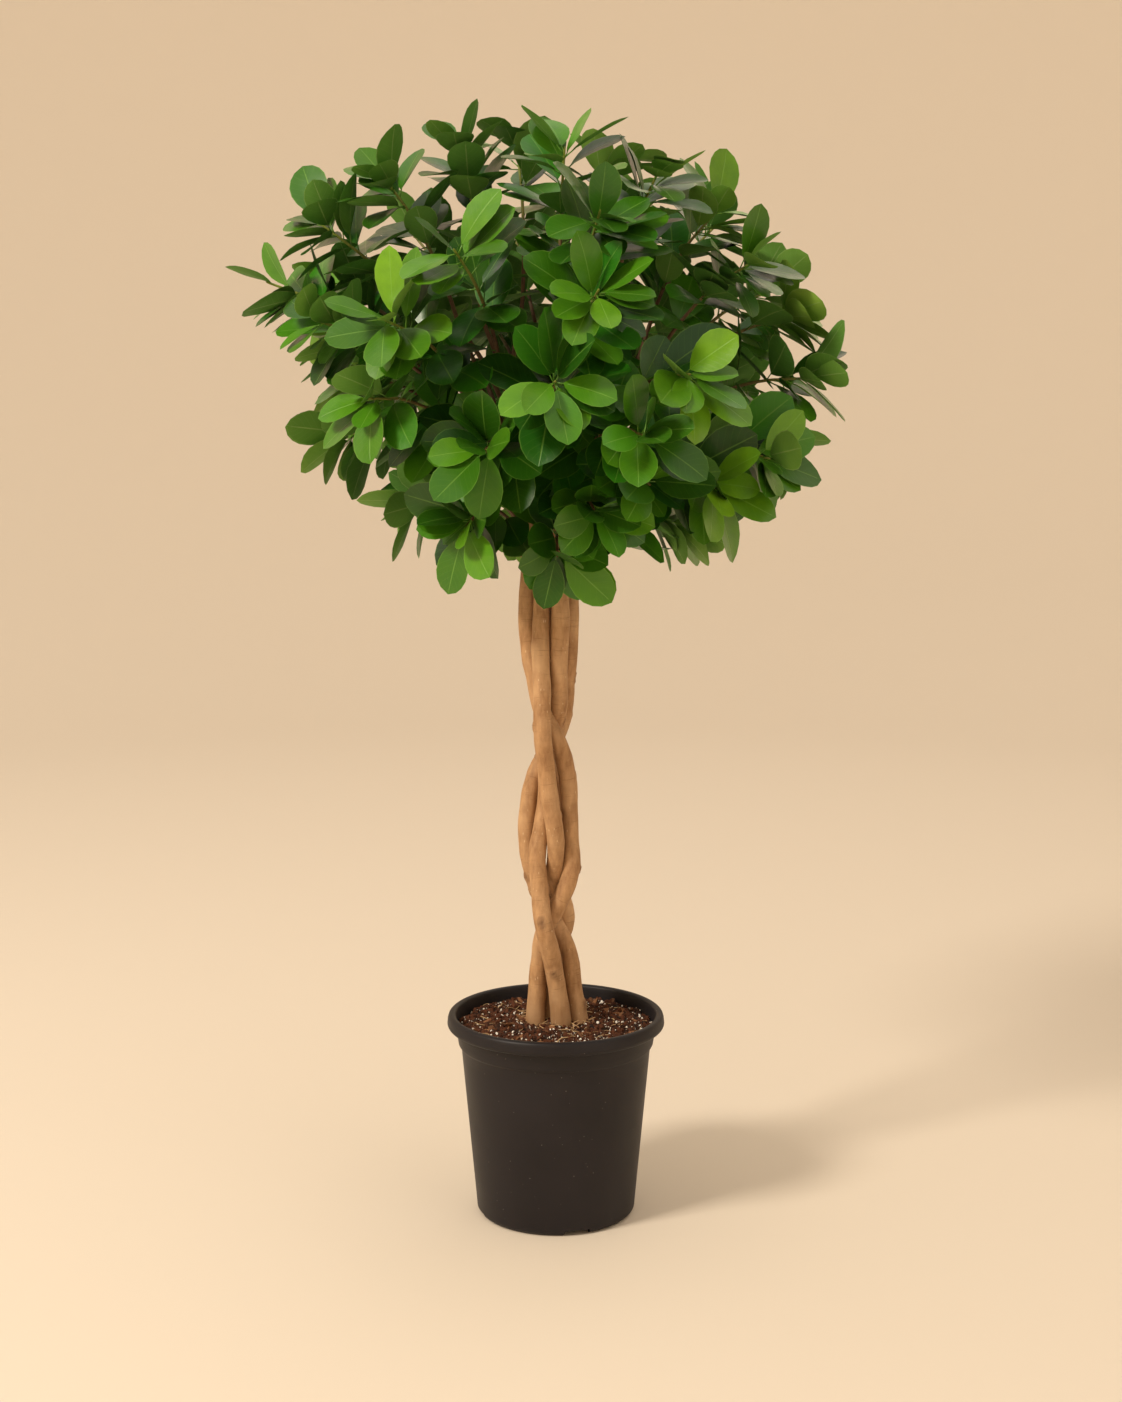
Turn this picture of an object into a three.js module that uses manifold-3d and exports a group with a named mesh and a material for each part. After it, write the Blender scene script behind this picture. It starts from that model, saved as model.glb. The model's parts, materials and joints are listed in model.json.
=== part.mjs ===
// Potted ficus standard: five braided stems in a nursery pot, with a ball of leafy branches.
// Millimetres, +Z up. The origin is the middle of the pot's foot, -Y is the front and +X the right.
import * as THREE from "three";
import { mergeVertices } from "three/addons/utils/BufferGeometryUtils.js";
import Module from "manifold-3d";

const wasm = await Module();
wasm.setup();

// ---- Driving dimensions ----
const GAP = 0.3; // kept between pieces that touch
const SHORTEST_EDGE = 0.03; // what a join may leave behind
const POT = {
  rimRadius: 105,
  height: 198,
  footRadius: 77,
  wall: 1.8,
  footHeight: 5.5,
  segments: 36,
};
const NOTCH = { count: 4, width: 25, height: 5.5, depth: 14, firstAzimuth: 16 };
const DRAIN = { count: 4, radius: 6, pitchRadius: 46 };
const SOIL = { depthBelowRim: 12, edgeDip: 3, lump: 1.6, segments: 20 };
const STEM = { buriedTo: 120, sides: 7, rings: 37, stepsPerRing: 3, taperFrom: 600, topRadius: 3.2 };
const BRANCH = { sides: 4, points: 7, footRadius: 3.1, tipRadius: 1.2, heart: [-8, 0, 800] };
const LEAF = { length: 70, width: 39, thickness: 1.6, perBranch: 8, firstGap: 13, gapGrowth: 2.6 };
const GOLDEN_ANGLE = 137.5;

// Middle of each stem at each level, [x, y], as the braid is worked by hand.
const BRAID_LEVELS = [120, 188, 232, 278, 322, 367, 413, 460, 510, 560, 605, 640, 700, 760];
const STEMS = {
  stem_front: {
    radius: 9,
    route: [
      [8, -10], [6, -12], [1, -16], [-8, -20], [-13, -18], [-14, -11], [-9, 2],
      [-4, 5], [1, -2], [2, -10], [2, -14], [3, -17], [4, -31], [4, -48],
    ],
  },
  stem_middle: {
    radius: 8.6,
    route: [
      [-8, 6], [-6, 6], [0, 8], [2, 4], [3, -2], [-2, -15], [-7, -19],
      [-9, -19], [-12, -18], [-13, -12], [-13, -4], [-15, -7], [-25, -18], [-38, -29],
    ],
  },
  stem_left: {
    radius: 8.8,
    route: [
      [-21, -4], [-19, -4], [-18, -3], [-4, -2], [6, -6], [13, -4], [9, 0],
      [0, -2], [-15, -2], [-26, 0], [-23, 2], [-23, 5], [-36, 12], [-50, 18],
    ],
  },
  stem_right: {
    radius: 8.6,
    route: [
      [25, -2], [23, -2], [14, -2], [3, 9], [-20, 4], [-27, 2], [-19, 4],
      [-5, 15], [4, 8], [13, 2], [13, 2], [15, 2], [29, -4], [44, -8],
    ],
  },
  stem_back: {
    radius: 8,
    route: [
      [5, 22], [4, 21], [6, 22], [-2, 24], [2, 18], [2, 16], [-2, 20],
      [-6, 30], [-4, 18], [-6, 16], [-4, 19], [2, 20], [10, 34], [16, 48],
    ],
  },
};

// Tip of each branch: [azimuth from the front in degrees, reach, height]. Right is 90, left 270.
const TIPS = [
  [2, 232, 800], [11, 222, 872], [30, 232, 806], [8, 112, 992], [338, 196, 905],
  [42, 142, 976], [300, 92, 1004], [294, 156, 978], [275, 248, 888], [281, 205, 940],
  [266, 196, 838], [312, 198, 786], [252, 196, 752], [343, 178, 742], [322, 112, 676],
  [6, 92, 652], [16, 152, 690], [28, 182, 716], [46, 196, 712], [58, 222, 736],
  [76, 236, 804], [102, 226, 744], [62, 200, 902], [78, 152, 948], [84, 212, 858],
  [14, 182, 936], [322, 214, 850], [20, 236, 756], [205, 66, 1016], [298, 222, 852],
  [140, 84, 1000], [112, 168, 944], [150, 160, 958], [192, 166, 952], [232, 168, 946],
  [108, 214, 884], [136, 218, 872], [166, 222, 882], [198, 220, 874], [228, 216, 880],
  [252, 212, 892], [124, 224, 796], [154, 226, 804], [184, 226, 792], [214, 224, 800],
  [242, 214, 806], [140, 178, 718], [182, 180, 712], [222, 176, 722], [188, 96, 660],
  [96, 112, 672], [262, 120, 684],
];

const up = new THREE.Vector3(0, 0, 1);
const heart = new THREE.Vector3(...BRANCH.heart);

// A repeatable number from 0 to 1 for a whole number.
function noise(n) {
  const s = Math.sin(n * 12.9898 + 4.137) * 43758.5453;
  return s - Math.floor(s);
}

// The direction of an azimuth counted from the front towards the right.
function heading(degrees) {
  const a = THREE.MathUtils.degToRad(degrees);
  return new THREE.Vector3(Math.sin(a), -Math.cos(a), 0);
}

// ---- Solids ----
function solidOf(geometry) {
  const bare = geometry.clone();
  bare.deleteAttribute("normal");
  bare.deleteAttribute("uv");
  const merged = mergeVertices(bare, 1e-4);
  return new wasm.Manifold(
    new wasm.Mesh({
      numProp: 3,
      vertProperties: merged.attributes.position.array,
      triVerts: new Uint32Array(merged.index.array),
    }),
  );
}

function geometryOf(solid) {
  const mesh = solid.getMesh();
  return new THREE.BufferGeometry()
    .setAttribute("position", new THREE.BufferAttribute(mesh.vertProperties, 3))
    .setIndex(new THREE.BufferAttribute(mesh.triVerts, 1));
}

// The largest of the bodies that a cut leaves.
function largest(solid) {
  const bodies = solid.decompose();
  return bodies.reduce((a, b) => (b.volume() > a.volume() ? b : a));
}

function shortestEdge(solid) {
  const places = geometryOf(solid).toNonIndexed().attributes.position;
  const corner = (i) => new THREE.Vector3().fromBufferAttribute(places, i);
  let shortest = Infinity;
  for (let i = 0; i < places.count; i += 3)
    for (let k = 0; k < 3; k++)
      shortest = Math.min(shortest, corner(i + k).distanceTo(corner(i + ((k + 1) % 3))));
  return shortest;
}

function meshSolid(vertices, faces) {
  const geometry = new THREE.BufferGeometry()
    .setAttribute("position", new THREE.Float32BufferAttribute(vertices.flatMap((v) => v.toArray()), 3))
    .setIndex(faces.flat());
  return solidOf(geometry);
}

// A closed round rod through points, with a radius for each of them.
function rod(points, radii, sides, grow = 0) {
  const frames = new THREE.CatmullRomCurve3(points).computeFrenetFrames(points.length - 1);
  const vertices = [];
  points.forEach((p, i) => {
    for (let k = 0; k < sides; k++) {
      const a = (2 * Math.PI * k) / sides;
      vertices.push(
        p.clone()
          .addScaledVector(frames.normals[i], Math.cos(a) * (radii[i] + grow))
          .addScaledVector(frames.binormals[i], Math.sin(a) * (radii[i] + grow)),
      );
    }
  });
  const faces = [];
  for (let i = 0; i < points.length - 1; i++)
    for (let k = 0; k < sides; k++) {
      const [a, b] = [i * sides + k, i * sides + ((k + 1) % sides)];
      faces.push([a, b, b + sides], [a, b + sides, a + sides]);
    }
  const last = (points.length - 1) * sides;
  for (let k = 1; k < sides - 1; k++) {
    faces.push([0, k + 1, k], [last, last + k, last + k + 1]);
  }
  return meshSolid(vertices, faces);
}

// Pushes routes apart, level by level, until their rods clear each other.
function pressApart(routes, radii, held, rounds) {
  for (let round = 0; round < rounds; round++) {
    for (let a = 0; a < routes.length; a++)
      for (let b = a + 1; b < routes.length; b++)
        routes[a].forEach((p, i) =>
          routes[b].forEach((q, j) => {
            const room = radii[a][i] + radii[b][j] + 3 * GAP;
            const away = p.clone().sub(q);
            const distance = away.length();
            if (distance >= room || distance < 1e-6) return;
            away.setLength((room - distance) / 2);
            if (!held(a, i)) p.add(away);
            if (!held(b, j)) q.sub(away);
          }),
        );
  }
}

// ---- Pot ----
function potProfile() {
  const { rimRadius, height, footRadius, wall, footHeight } = POT;
  const outer = [
    [footRadius - 5, 0],
    [footRadius - 2, 1.6],
    [footRadius, 7],
    [91.5, height - 33],
    [94.5, height - 30],
    [96.5, height - 15],
    [rimRadius - 3, height - 14],
    [rimRadius, height - 9],
    [rimRadius - 0.6, height - 3.5],
    [rimRadius - 3.4, height],
  ];
  const inner = [
    [rimRadius - 6.2, height - 1.2],
    [rimRadius - 8.2, height - 7],
    [94.5 - wall, height - 26],
    [91.5 - wall, height - 34],
    [footRadius - wall, footHeight + 5],
    [footRadius - wall - 4, footHeight + wall],
    [0, footHeight + wall],
  ];
  const under = [
    [0, 0],
    [12, 0],
    [13, footHeight],
    [footRadius - 9.5, footHeight],
    [footRadius - 8.5, 0],
  ];
  return [...under, ...outer, ...inner].map(([r, z]) => new THREE.Vector2(r, z));
}

// LatheGeometry turns round +Y, so the result is stood up.
function turned(profile, segments) {
  return new THREE.LatheGeometry(profile, segments).rotateX(Math.PI / 2);
}

function nurseryPot() {
  let pot = solidOf(turned(potProfile(), POT.segments));
  for (let i = 0; i < NOTCH.count; i++) {
    const azimuth = NOTCH.firstAzimuth + (360 / NOTCH.count) * i;
    const cutter = new THREE.BoxGeometry(NOTCH.width, NOTCH.depth * 2, NOTCH.height * 2)
      .translate(0, -POT.footRadius + 2, 0)
      .rotateZ(THREE.MathUtils.degToRad(azimuth));
    pot = pot.subtract(solidOf(cutter));
  }
  for (let i = 0; i < DRAIN.count; i++) {
    const at = heading(NOTCH.firstAzimuth + 45 + (360 / DRAIN.count) * i).multiplyScalar(DRAIN.pitchRadius);
    const drill = new THREE.CylinderGeometry(DRAIN.radius, DRAIN.radius, 30, 12)
      .rotateX(Math.PI / 2)
      .translate(at.x, at.y, POT.footHeight);
    pot = pot.subtract(solidOf(drill));
  }
  return pot;
}

// ---- Soil ----
function pottingSoil(stems) {
  const { height, footRadius, wall, footHeight } = POT;
  const top = height - SOIL.depthBelowRim;
  const inside = (r) => r - wall - GAP;
  const profile = [
    [0, footHeight + wall + GAP],
    [inside(footRadius) - 5, footHeight + wall + GAP],
    [inside(footRadius) - 0.6, footHeight + 6.5],
    [inside(91.5) - 0.3, height - 34],
    [inside(94.5) - 0.6, height - 27.5],
    [94.4 - GAP, top - SOIL.edgeDip],
    [70, top],
    [45, top + 1],
    [22, top + 2],
    [0, top + 2],
  ].map(([r, z]) => new THREE.Vector2(r, z));
  const ball = turned(profile, SOIL.segments);
  const places = ball.attributes.position;
  for (let i = 0; i < places.count; i++) {
    const [x, y, z] = [places.getX(i), places.getY(i), places.getZ(i)];
    const reach = Math.hypot(x, y);
    if (z > top - 1 && reach > 5)
      places.setZ(i, z + SOIL.lump * Math.sin(x / 7 + y / 11) * Math.cos(y / 9 - x / 17));
  }
  return stems.reduce((soil, stem) => soil.subtract(stem.fat), solidOf(ball));
}

// ---- Stems ----
function braidedStems() {
  const names = Object.keys(STEMS);
  const top = BRAID_LEVELS.at(-1);
  const steps = (STEM.rings - 1) * STEM.stepsPerRing;
  const heights = Array.from(
    { length: steps + 1 },
    (_, i) => STEM.buriedTo + ((top - STEM.buriedTo) * i) / steps,
  );
  const radii = names.map((name) =>
    heights.map((z) => {
      const share = Math.max(0, (z - STEM.taperFrom) / (top - STEM.taperFrom));
      return THREE.MathUtils.lerp(STEMS[name].radius, STEM.topRadius, share);
    }),
  );
  const routes = names.map((name) => {
    const curve = new THREE.CatmullRomCurve3(
      STEMS[name].route.map(([x, y], i) => new THREE.Vector3(x, y, BRAID_LEVELS[i])),
      false,
      "centripetal",
    );
    const along = curve.getSpacedPoints(400);
    return heights.map((z) => {
      const next = Math.max(1, along.findIndex((p) => p.z >= z - 1e-6));
      const [a, b] = [along[next - 1], along[next]];
      return a.clone().lerp(b, (z - a.z) / (b.z - a.z));
    });
  });
  for (let round = 0; round < 30; round++) {
    pressApart(routes, radii, () => false, 2);
    routes.forEach((route) => {
      route.forEach((p, i) => {
        p.z = heights[i];
        if (i === 0 || i === route.length - 1) return;
        const between = route[i - 1].clone().add(route[i + 1]).multiplyScalar(0.5);
        p.lerp(between, round < 26 ? 0.3 : 0);
      });
    });
  }
  const atRings = (list) => list.filter((_, i) => i % STEM.stepsPerRing === 0);
  const stems = [];
  for (const [n, name] of names.entries()) {
    const stem = { name, route: atRings(routes[n]), radii: atRings(radii[n]), heights: atRings(heights) };
    stem.solid = rod(stem.route, stem.radii, STEM.sides);
    stem.fat = rod(stem.route, stem.radii, STEM.sides, GAP);
    for (const other of stems) stem.solid = stem.solid.subtract(other.fat);
    stems.push(stem);
  }
  return stems;
}

// ---- Branches ----
// The stem whose top leans most towards a branch's tip.
function nearestStem(stems, tip) {
  const lean = (stem) => {
    const end = stem.route.at(-1).clone().setZ(0);
    return end.angleTo(tip.clone().setZ(0));
  };
  return stems.reduce((a, b) => (lean(b) < lean(a) ? b : a));
}

function branchRoutes(stems) {
  const shared = new Map(stems.map((stem) => [stem.name, []]));
  TIPS.forEach(([azimuth, reach, height], n) => {
    const tip = heading(azimuth).multiplyScalar(reach).setZ(height);
    tip.x += heart.x;
    shared.get(nearestStem(stems, tip).name).push({ n, tip });
  });
  const branches = [];
  for (const stem of stems) {
    const own = shared.get(stem.name).sort((a, b) => a.tip.z - b.tip.z);
    own.forEach(({ n, tip }, rank) => {
      const footHeight = THREE.MathUtils.lerp(614, 756, (rank + 0.5) / own.length);
      const ring = stem.heights.findIndex((z) => z >= footHeight);
      const foot = stem.route[ring].clone();
      const span = foot.distanceTo(tip);
      const outward = tip.clone().sub(foot).setZ(0).normalize();
      const arrival = tip.clone().sub(heart).normalize();
      const curve = new THREE.CubicBezierCurve3(
        foot,
        foot.clone().addScaledVector(up, span * 0.22).addScaledVector(outward, span * 0.2),
        tip.clone().addScaledVector(arrival, -span * 0.4).addScaledVector(up, span * 0.02),
        tip,
      );
      branches.push({ n, stem, route: curve.getSpacedPoints(BRANCH.points - 1) });
    });
  }
  branches.sort((a, b) => a.n - b.n);
  const radii = branches.map((b) =>
    b.route.map((_, i) =>
      THREE.MathUtils.lerp(BRANCH.footRadius, BRANCH.tipRadius, i / (BRANCH.points - 1)),
    ),
  );
  pressApart(branches.map((b) => b.route), radii, (_, i) => i < 1, 40);
  return branches.map((b, i) => ({ ...b, radii: radii[i] }));
}

// A flat leaf with its stalk: a four-sided blade, thickest in the middle.
function leafSolid({ foot, along, normal, length, width }, grow = 0) {
  const across = new THREE.Vector3().crossVectors(normal, along);
  const place = (u, v, w = 0) =>
    foot.clone()
      .addScaledVector(along, u * length)
      .addScaledVector(across, v * (width / 2 + grow))
      .addScaledVector(normal, w);
  const half = LEAF.thickness / 2 + grow;
  const outline = [place(0, 0), place(0.58, -1), place(1 + grow / length, 0), place(0.58, 1)];
  const vertices = [...outline, place(0.5, 0, half), place(0.5, 0, -half)];
  const faces = [];
  for (let i = 0; i < 4; i++) {
    const j = (i + 1) % 4;
    faces.push([i, j, 4], [j, i, 5]);
  }
  return meshSolid(vertices, faces);
}

// Where the k-th leaf from a branch's tip could sit; each try swings it a little further.
function leafPlace(branch, curve, length, k, attempt) {
  const back = LEAF.firstGap * k + (LEAF.gapGrowth * k * (k - 1)) / 2 + 2;
  const t = 1 - back / length;
  if (t < 0.3) return null;
  const foot = curve.getPointAt(t);
  const axis = curve.getTangentAt(t);
  const seed = branch.n * 31 + k;
  const side = new THREE.Vector3().crossVectors(axis, up).normalize();
  const turn = branch.n * 77 + k * GOLDEN_ANGLE + attempt * 23 * (attempt % 2 ? 1 : -1);
  const radial = side.applyAxisAngle(axis, THREE.MathUtils.degToRad(turn));
  const opening = THREE.MathUtils.degToRad(20 + Math.min(k, 4) * 8 + 26 * noise(seed) + (attempt % 3) * 4);
  const along = axis.clone().multiplyScalar(Math.cos(opening)).addScaledVector(radial, Math.sin(opening));
  along.z -= 0.45 * noise(seed + 7) - 0.02;
  along.normalize();
  const facing = axis.clone().multiplyScalar(0.5).addScaledVector(up, 0.7);
  facing.addScaledVector(foot.clone().sub(heart).normalize(), 0.3);
  facing.addScaledVector(radial, 0.5 * (noise(seed + 3) - 0.5));
  facing.addScaledVector(axis.clone().cross(up), 0.7 * (noise(seed + 11) - 0.5));
  const normal = facing.addScaledVector(along, -facing.dot(along)).normalize();
  const grown = [0.72, 0.86, 1, 1.04, 1][Math.min(k, 4)] * (0.88 + 0.22 * noise(seed + 5));
  return { foot, along, normal, length: LEAF.length * grown, width: LEAF.width * grown };
}

function leafyBranches(stems) {
  const branches = branchRoutes(stems);
  const wood = [];
  for (const branch of branches) {
    let solid = rod(branch.route, branch.radii, BRANCH.sides);
    for (const stem of stems) solid = solid.subtract(stem.fat);
    for (const other of wood) solid = solid.subtract(other.fat);
    branch.wood = largest(solid).simplify(0.05);
    branch.shortest = Math.min(SHORTEST_EDGE, shortestEdge(branch.wood) * 0.99);
    wood.push({ branch, solid: branch.wood, fat: rod(branch.route, branch.radii, BRANCH.sides, GAP) });
  }
  const taken = []; // every leaf so far, with its box
  const boxesMeet = (a, b) =>
    a.min.every((low, i) => low <= b.max[i]) && b.min.every((low, i) => low <= a.max[i]);
  const clear = (fat, box, branch) =>
    taken.every((t) => !boxesMeet(box, t.box) || fat.intersect(t.solid).isEmpty()) &&
    wood.every((w) => w.branch === branch || !boxesMeet(box, w.box) || fat.intersect(w.solid).isEmpty()) &&
    stems.every((s) => fat.intersect(s.solid).isEmpty());
  wood.forEach((w) => (w.box = w.solid.boundingBox()));
  branches.forEach((b) => (b.whole = b.wood));
  for (let k = 0; k < LEAF.perBranch; k++)
    for (const branch of branches) {
      const curve = new THREE.CatmullRomCurve3(branch.route, false, "centripetal");
      const length = curve.getLength();
      for (let attempt = 0; attempt < 7; attempt++) {
        const place = leafPlace(branch, curve, length, k, attempt);
        if (!place) break;
        const fat = leafSolid(place, GAP);
        const box = fat.boundingBox();
        if (!clear(fat, box, branch)) continue;
        const solid = leafSolid(place);
        const joined = branch.whole.add(solid);
        if (joined.decompose().length > 1 || shortestEdge(joined) < branch.shortest) continue;
        taken.push({ solid, box });
        branch.whole = joined;
        break;
      }
    }
  return branches;
}

// ---- Assembly ----
const finish = {
  plastic: new THREE.MeshStandardMaterial({ color: 0x2b2527, roughness: 0.62, metalness: 0 }),
  soil: new THREE.MeshStandardMaterial({ color: 0x4a2d1c, roughness: 0.95, metalness: 0 }),
  bark: new THREE.MeshStandardMaterial({ color: 0xa17852, roughness: 0.8, metalness: 0 }),
  leaf: new THREE.MeshStandardMaterial({ color: 0x2f6b22, roughness: 0.35, metalness: 0 }),
};

const plant = new THREE.Group();
function add(name, solid, material) {
  const mesh = new THREE.Mesh(geometryOf(solid), material);
  mesh.name = name;
  plant.add(mesh);
}

const stems = braidedStems();
add("nursery_pot", nurseryPot(), finish.plastic);
add("potting_soil", pottingSoil(stems), finish.soil);
for (const stem of stems) add(stem.name, stem.solid, finish.bark);
for (const branch of leafyBranches(stems)) {
  const name = `leafy_branch_${String(branch.n + 1).padStart(2, "0")}`;
  add(name, branch.whole, finish.leaf);
}

export default plant;
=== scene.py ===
import json
import math

import bpy
import bmesh
import numpy as np
from mathutils import Matrix, Quaternion, Vector, noise
from mathutils.bvhtree import BVHTree

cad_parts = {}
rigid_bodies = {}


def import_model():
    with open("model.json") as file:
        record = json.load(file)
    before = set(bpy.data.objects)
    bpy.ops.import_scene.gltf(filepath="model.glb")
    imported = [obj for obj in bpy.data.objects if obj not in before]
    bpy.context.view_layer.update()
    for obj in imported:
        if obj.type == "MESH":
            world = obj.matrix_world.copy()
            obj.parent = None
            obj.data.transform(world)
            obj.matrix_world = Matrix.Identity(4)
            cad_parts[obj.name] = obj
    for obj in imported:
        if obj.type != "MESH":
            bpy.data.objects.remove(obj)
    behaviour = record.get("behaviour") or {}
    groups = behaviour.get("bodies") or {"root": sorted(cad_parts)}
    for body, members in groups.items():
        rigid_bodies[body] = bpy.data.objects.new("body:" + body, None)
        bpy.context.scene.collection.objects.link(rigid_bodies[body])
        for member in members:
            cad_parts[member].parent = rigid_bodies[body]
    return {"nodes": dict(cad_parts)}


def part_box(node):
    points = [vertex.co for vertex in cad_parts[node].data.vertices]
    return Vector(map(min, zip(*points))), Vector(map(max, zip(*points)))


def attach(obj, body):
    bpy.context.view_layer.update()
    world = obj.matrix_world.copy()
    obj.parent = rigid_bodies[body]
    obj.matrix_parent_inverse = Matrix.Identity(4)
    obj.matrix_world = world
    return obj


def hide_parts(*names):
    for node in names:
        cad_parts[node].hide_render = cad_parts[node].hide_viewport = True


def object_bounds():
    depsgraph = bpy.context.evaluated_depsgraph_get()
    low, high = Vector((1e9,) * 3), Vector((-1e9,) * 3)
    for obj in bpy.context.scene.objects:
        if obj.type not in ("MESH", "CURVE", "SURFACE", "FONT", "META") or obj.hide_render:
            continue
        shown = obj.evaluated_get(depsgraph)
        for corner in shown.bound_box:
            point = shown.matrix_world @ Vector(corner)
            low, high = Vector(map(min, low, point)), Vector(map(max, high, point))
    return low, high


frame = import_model()
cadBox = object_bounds()
scene = bpy.context.scene
print("frame loaded,", len(frame["nodes"]), "nodes")

up = Vector((0, 0, 1))


def linear(hexColour):  # sRGB hex to the linear colour that a socket holds
    channels = [int(hexColour[i:i + 2], 16) / 255 for i in (1, 3, 5)]
    return (*[c / 12.92 if c <= 0.04045 else ((c + 0.055) / 1.055) ** 2.4 for c in channels], 1)


# Adds a node with its settings, sets or links its inputs, and gives back one of its outputs.
def addNode(tree, kind, inputs, output=0, **settings):
    node = tree.nodes.new(kind)
    for name, value in settings.items():
        setattr(node, name, value)
    for socket, value in inputs.items():
        if isinstance(value, bpy.types.NodeSocket):
            tree.links.new(value, node.inputs[socket])
        else:
            node.inputs[socket].default_value = value
    return node.outputs[output]


def newMaterial(name, **surface):  # surface holds the shader's own constant values
    material = bpy.data.materials.new(name)
    material.use_nodes = True
    tree = material.node_tree
    shader = tree.nodes["Principled BSDF"]
    for socket, value in surface.items():
        shader.inputs[socket.replace("_", " ")].default_value = value
    return material, tree, shader


def newPiece(name, mesh, *materials):
    piece = bpy.data.objects.new(name, mesh)
    scene.collection.objects.link(piece)
    for material in materials:
        mesh.materials.append(material)
    return piece


def fromPydata(name, vertices, faces):
    mesh = bpy.data.meshes.new(name)
    mesh.from_pydata([tuple(v) for v in vertices], [], faces)
    mesh.polygons.foreach_set("use_smooth", [True] * len(mesh.polygons))
    mesh.update()
    return mesh


def fromBmesh(name, work):
    mesh = bpy.data.meshes.new(name)
    work.to_mesh(mesh)
    work.free()
    return mesh


def storeUV(mesh, name, corners):
    layer = mesh.uv_layers.new(name=name)
    layer.data.foreach_set("uv", np.array(corners, dtype=np.float32).ravel())


def mergedCopy(node):  # the CAD node's shape with its loose triangles joined
    work = bmesh.new()
    work.from_mesh(frame["nodes"][node].data)
    bmesh.ops.remove_doubles(work, verts=work.verts, dist=2e-6)
    work.verts.index_update()
    return work


def plainMesh(piece, name):  # what the piece's modifiers make, as a mesh of its own
    graph = bpy.context.evaluated_depsgraph_get()
    mesh = bpy.data.meshes.new_from_object(piece.evaluated_get(graph), depsgraph=graph)
    mesh.name = name
    piece.modifiers.clear()
    old, piece.data = piece.data, mesh
    bpy.data.meshes.remove(old)
    return mesh


# A closed round rod along points, with a radius for each. Its UV runs round it in u and along it
# in v, in metres.
def sweepRod(name, points, radii, sides, relief=None):
    bulge = 0.35  # how far an end stands out, as a share of its radius
    points = [Vector(p) for p in points]
    count = len(points)
    along = [(points[min(i + 1, count - 1)] - points[max(i - 1, 0)]).normalized() for i in range(count)]
    side = along[0].orthogonal().normalized()
    vertices, run, travelled = [], [], 0.0
    for i, point in enumerate(points):
        if i:
            side = (along[i - 1].rotation_difference(along[i]) @ side).normalized()
            travelled += (point - points[i - 1]).length
        other = along[i].cross(side)
        run.append(travelled)
        for k in range(sides):
            angle = 2 * math.pi * k / sides
            out = side * math.cos(angle) + other * math.sin(angle)
            lift = relief(point + out * radii[i], travelled, angle, radii[i]) if relief else 0
            vertices.append(point + out * (radii[i] + lift))
    faces, corners = [], []
    girth = 2 * math.pi * max(radii)
    for i in range(count - 1):
        for k in range(sides):
            a, b = i * sides + k, i * sides + (k + 1) % sides
            faces.append((a, b, b + sides, a + sides))
            u0, u1 = girth * k / sides, girth * (k + 1) / sides
            corners += [(u0, run[i]), (u1, run[i]), (u1, run[i + 1]), (u0, run[i + 1])]
    for ring, turn in ((0, -1), (count - 1, 1)):
        middle = len(vertices)
        vertices.append(points[ring] + along[ring] * turn * radii[ring] * bulge)
        for k in range(sides):
            a, b = ring * sides + k, ring * sides + (k + 1) % sides
            faces.append((a, b, middle) if turn > 0 else (b, a, middle))
            corners += [(girth * k / sides, run[ring])] * 3
    mesh = fromPydata(name, vertices, faces)
    storeUV(mesh, "rodUV", corners)
    return mesh


def joinMeshes(name, meshes):
    work = bmesh.new()
    for mesh in meshes:
        work.from_mesh(mesh)
    joined = fromBmesh(name, work)
    for mesh in meshes:
        bpy.data.meshes.remove(mesh)
    return joined


view = {"height": 0.79, "distance": 2.0, "aside": 0.005, "pitchDown": 8.2, "lens": 54.7, "sensor": 36}
lens = bpy.data.cameras.new("camera")
lens.lens = view["lens"]
lens.sensor_width = view["sensor"]
camera = bpy.data.objects.new("camera", lens)
camera.location = (view["aside"], -view["distance"], view["height"])
camera.rotation_euler = (math.radians(90 - view["pitchDown"]), 0, 0)
scene.collection.objects.link(camera)
scene.camera = camera

studio = {"aim": (0, 0, 0.55), "ambient": "#f2e6d6", "strength": 0.9}
lights = {
    "window": {"place": (-2.6, -2.0, 2.9), "size": 0.9, "power": 122, "colour": "#fff3e2"},
    "fill": {"place": (2.6, -2.4, 1.4), "size": 2.6, "power": 14, "colour": "#fff6ec"},
    "back": {"place": (0.9, 2.6, 2.4), "size": 1.6, "power": 4, "colour": "#fff6ec"},
}
for name, light in lights.items():
    lamp = bpy.data.lights.new(name, "AREA")
    lamp.size = light["size"]
    lamp.energy = light["power"]
    lamp.color = linear(light["colour"])[:3]
    holder = bpy.data.objects.new(name, lamp)
    holder.location = light["place"]
    holder.rotation_euler = (Vector(studio["aim"]) - holder.location).to_track_quat("-Z", "Y").to_euler()
    scene.collection.objects.link(holder)
world = bpy.data.worlds.new("studio")
world.use_nodes = True
world.node_tree.nodes["Background"].inputs["Color"].default_value = linear(studio["ambient"])
world.node_tree.nodes["Background"].inputs["Strength"].default_value = studio["strength"]
scene.world = world
scene.view_settings.view_transform = "Standard"
print("camera and light set")


def arc(centre, radius, fromDegrees, toDegrees, steps):
    return [
        (centre[0] + radius * math.cos(a), centre[1] + radius * math.sin(a))
        for a in np.radians(np.linspace(fromDegrees, toDegrees, steps))
    ]


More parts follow.
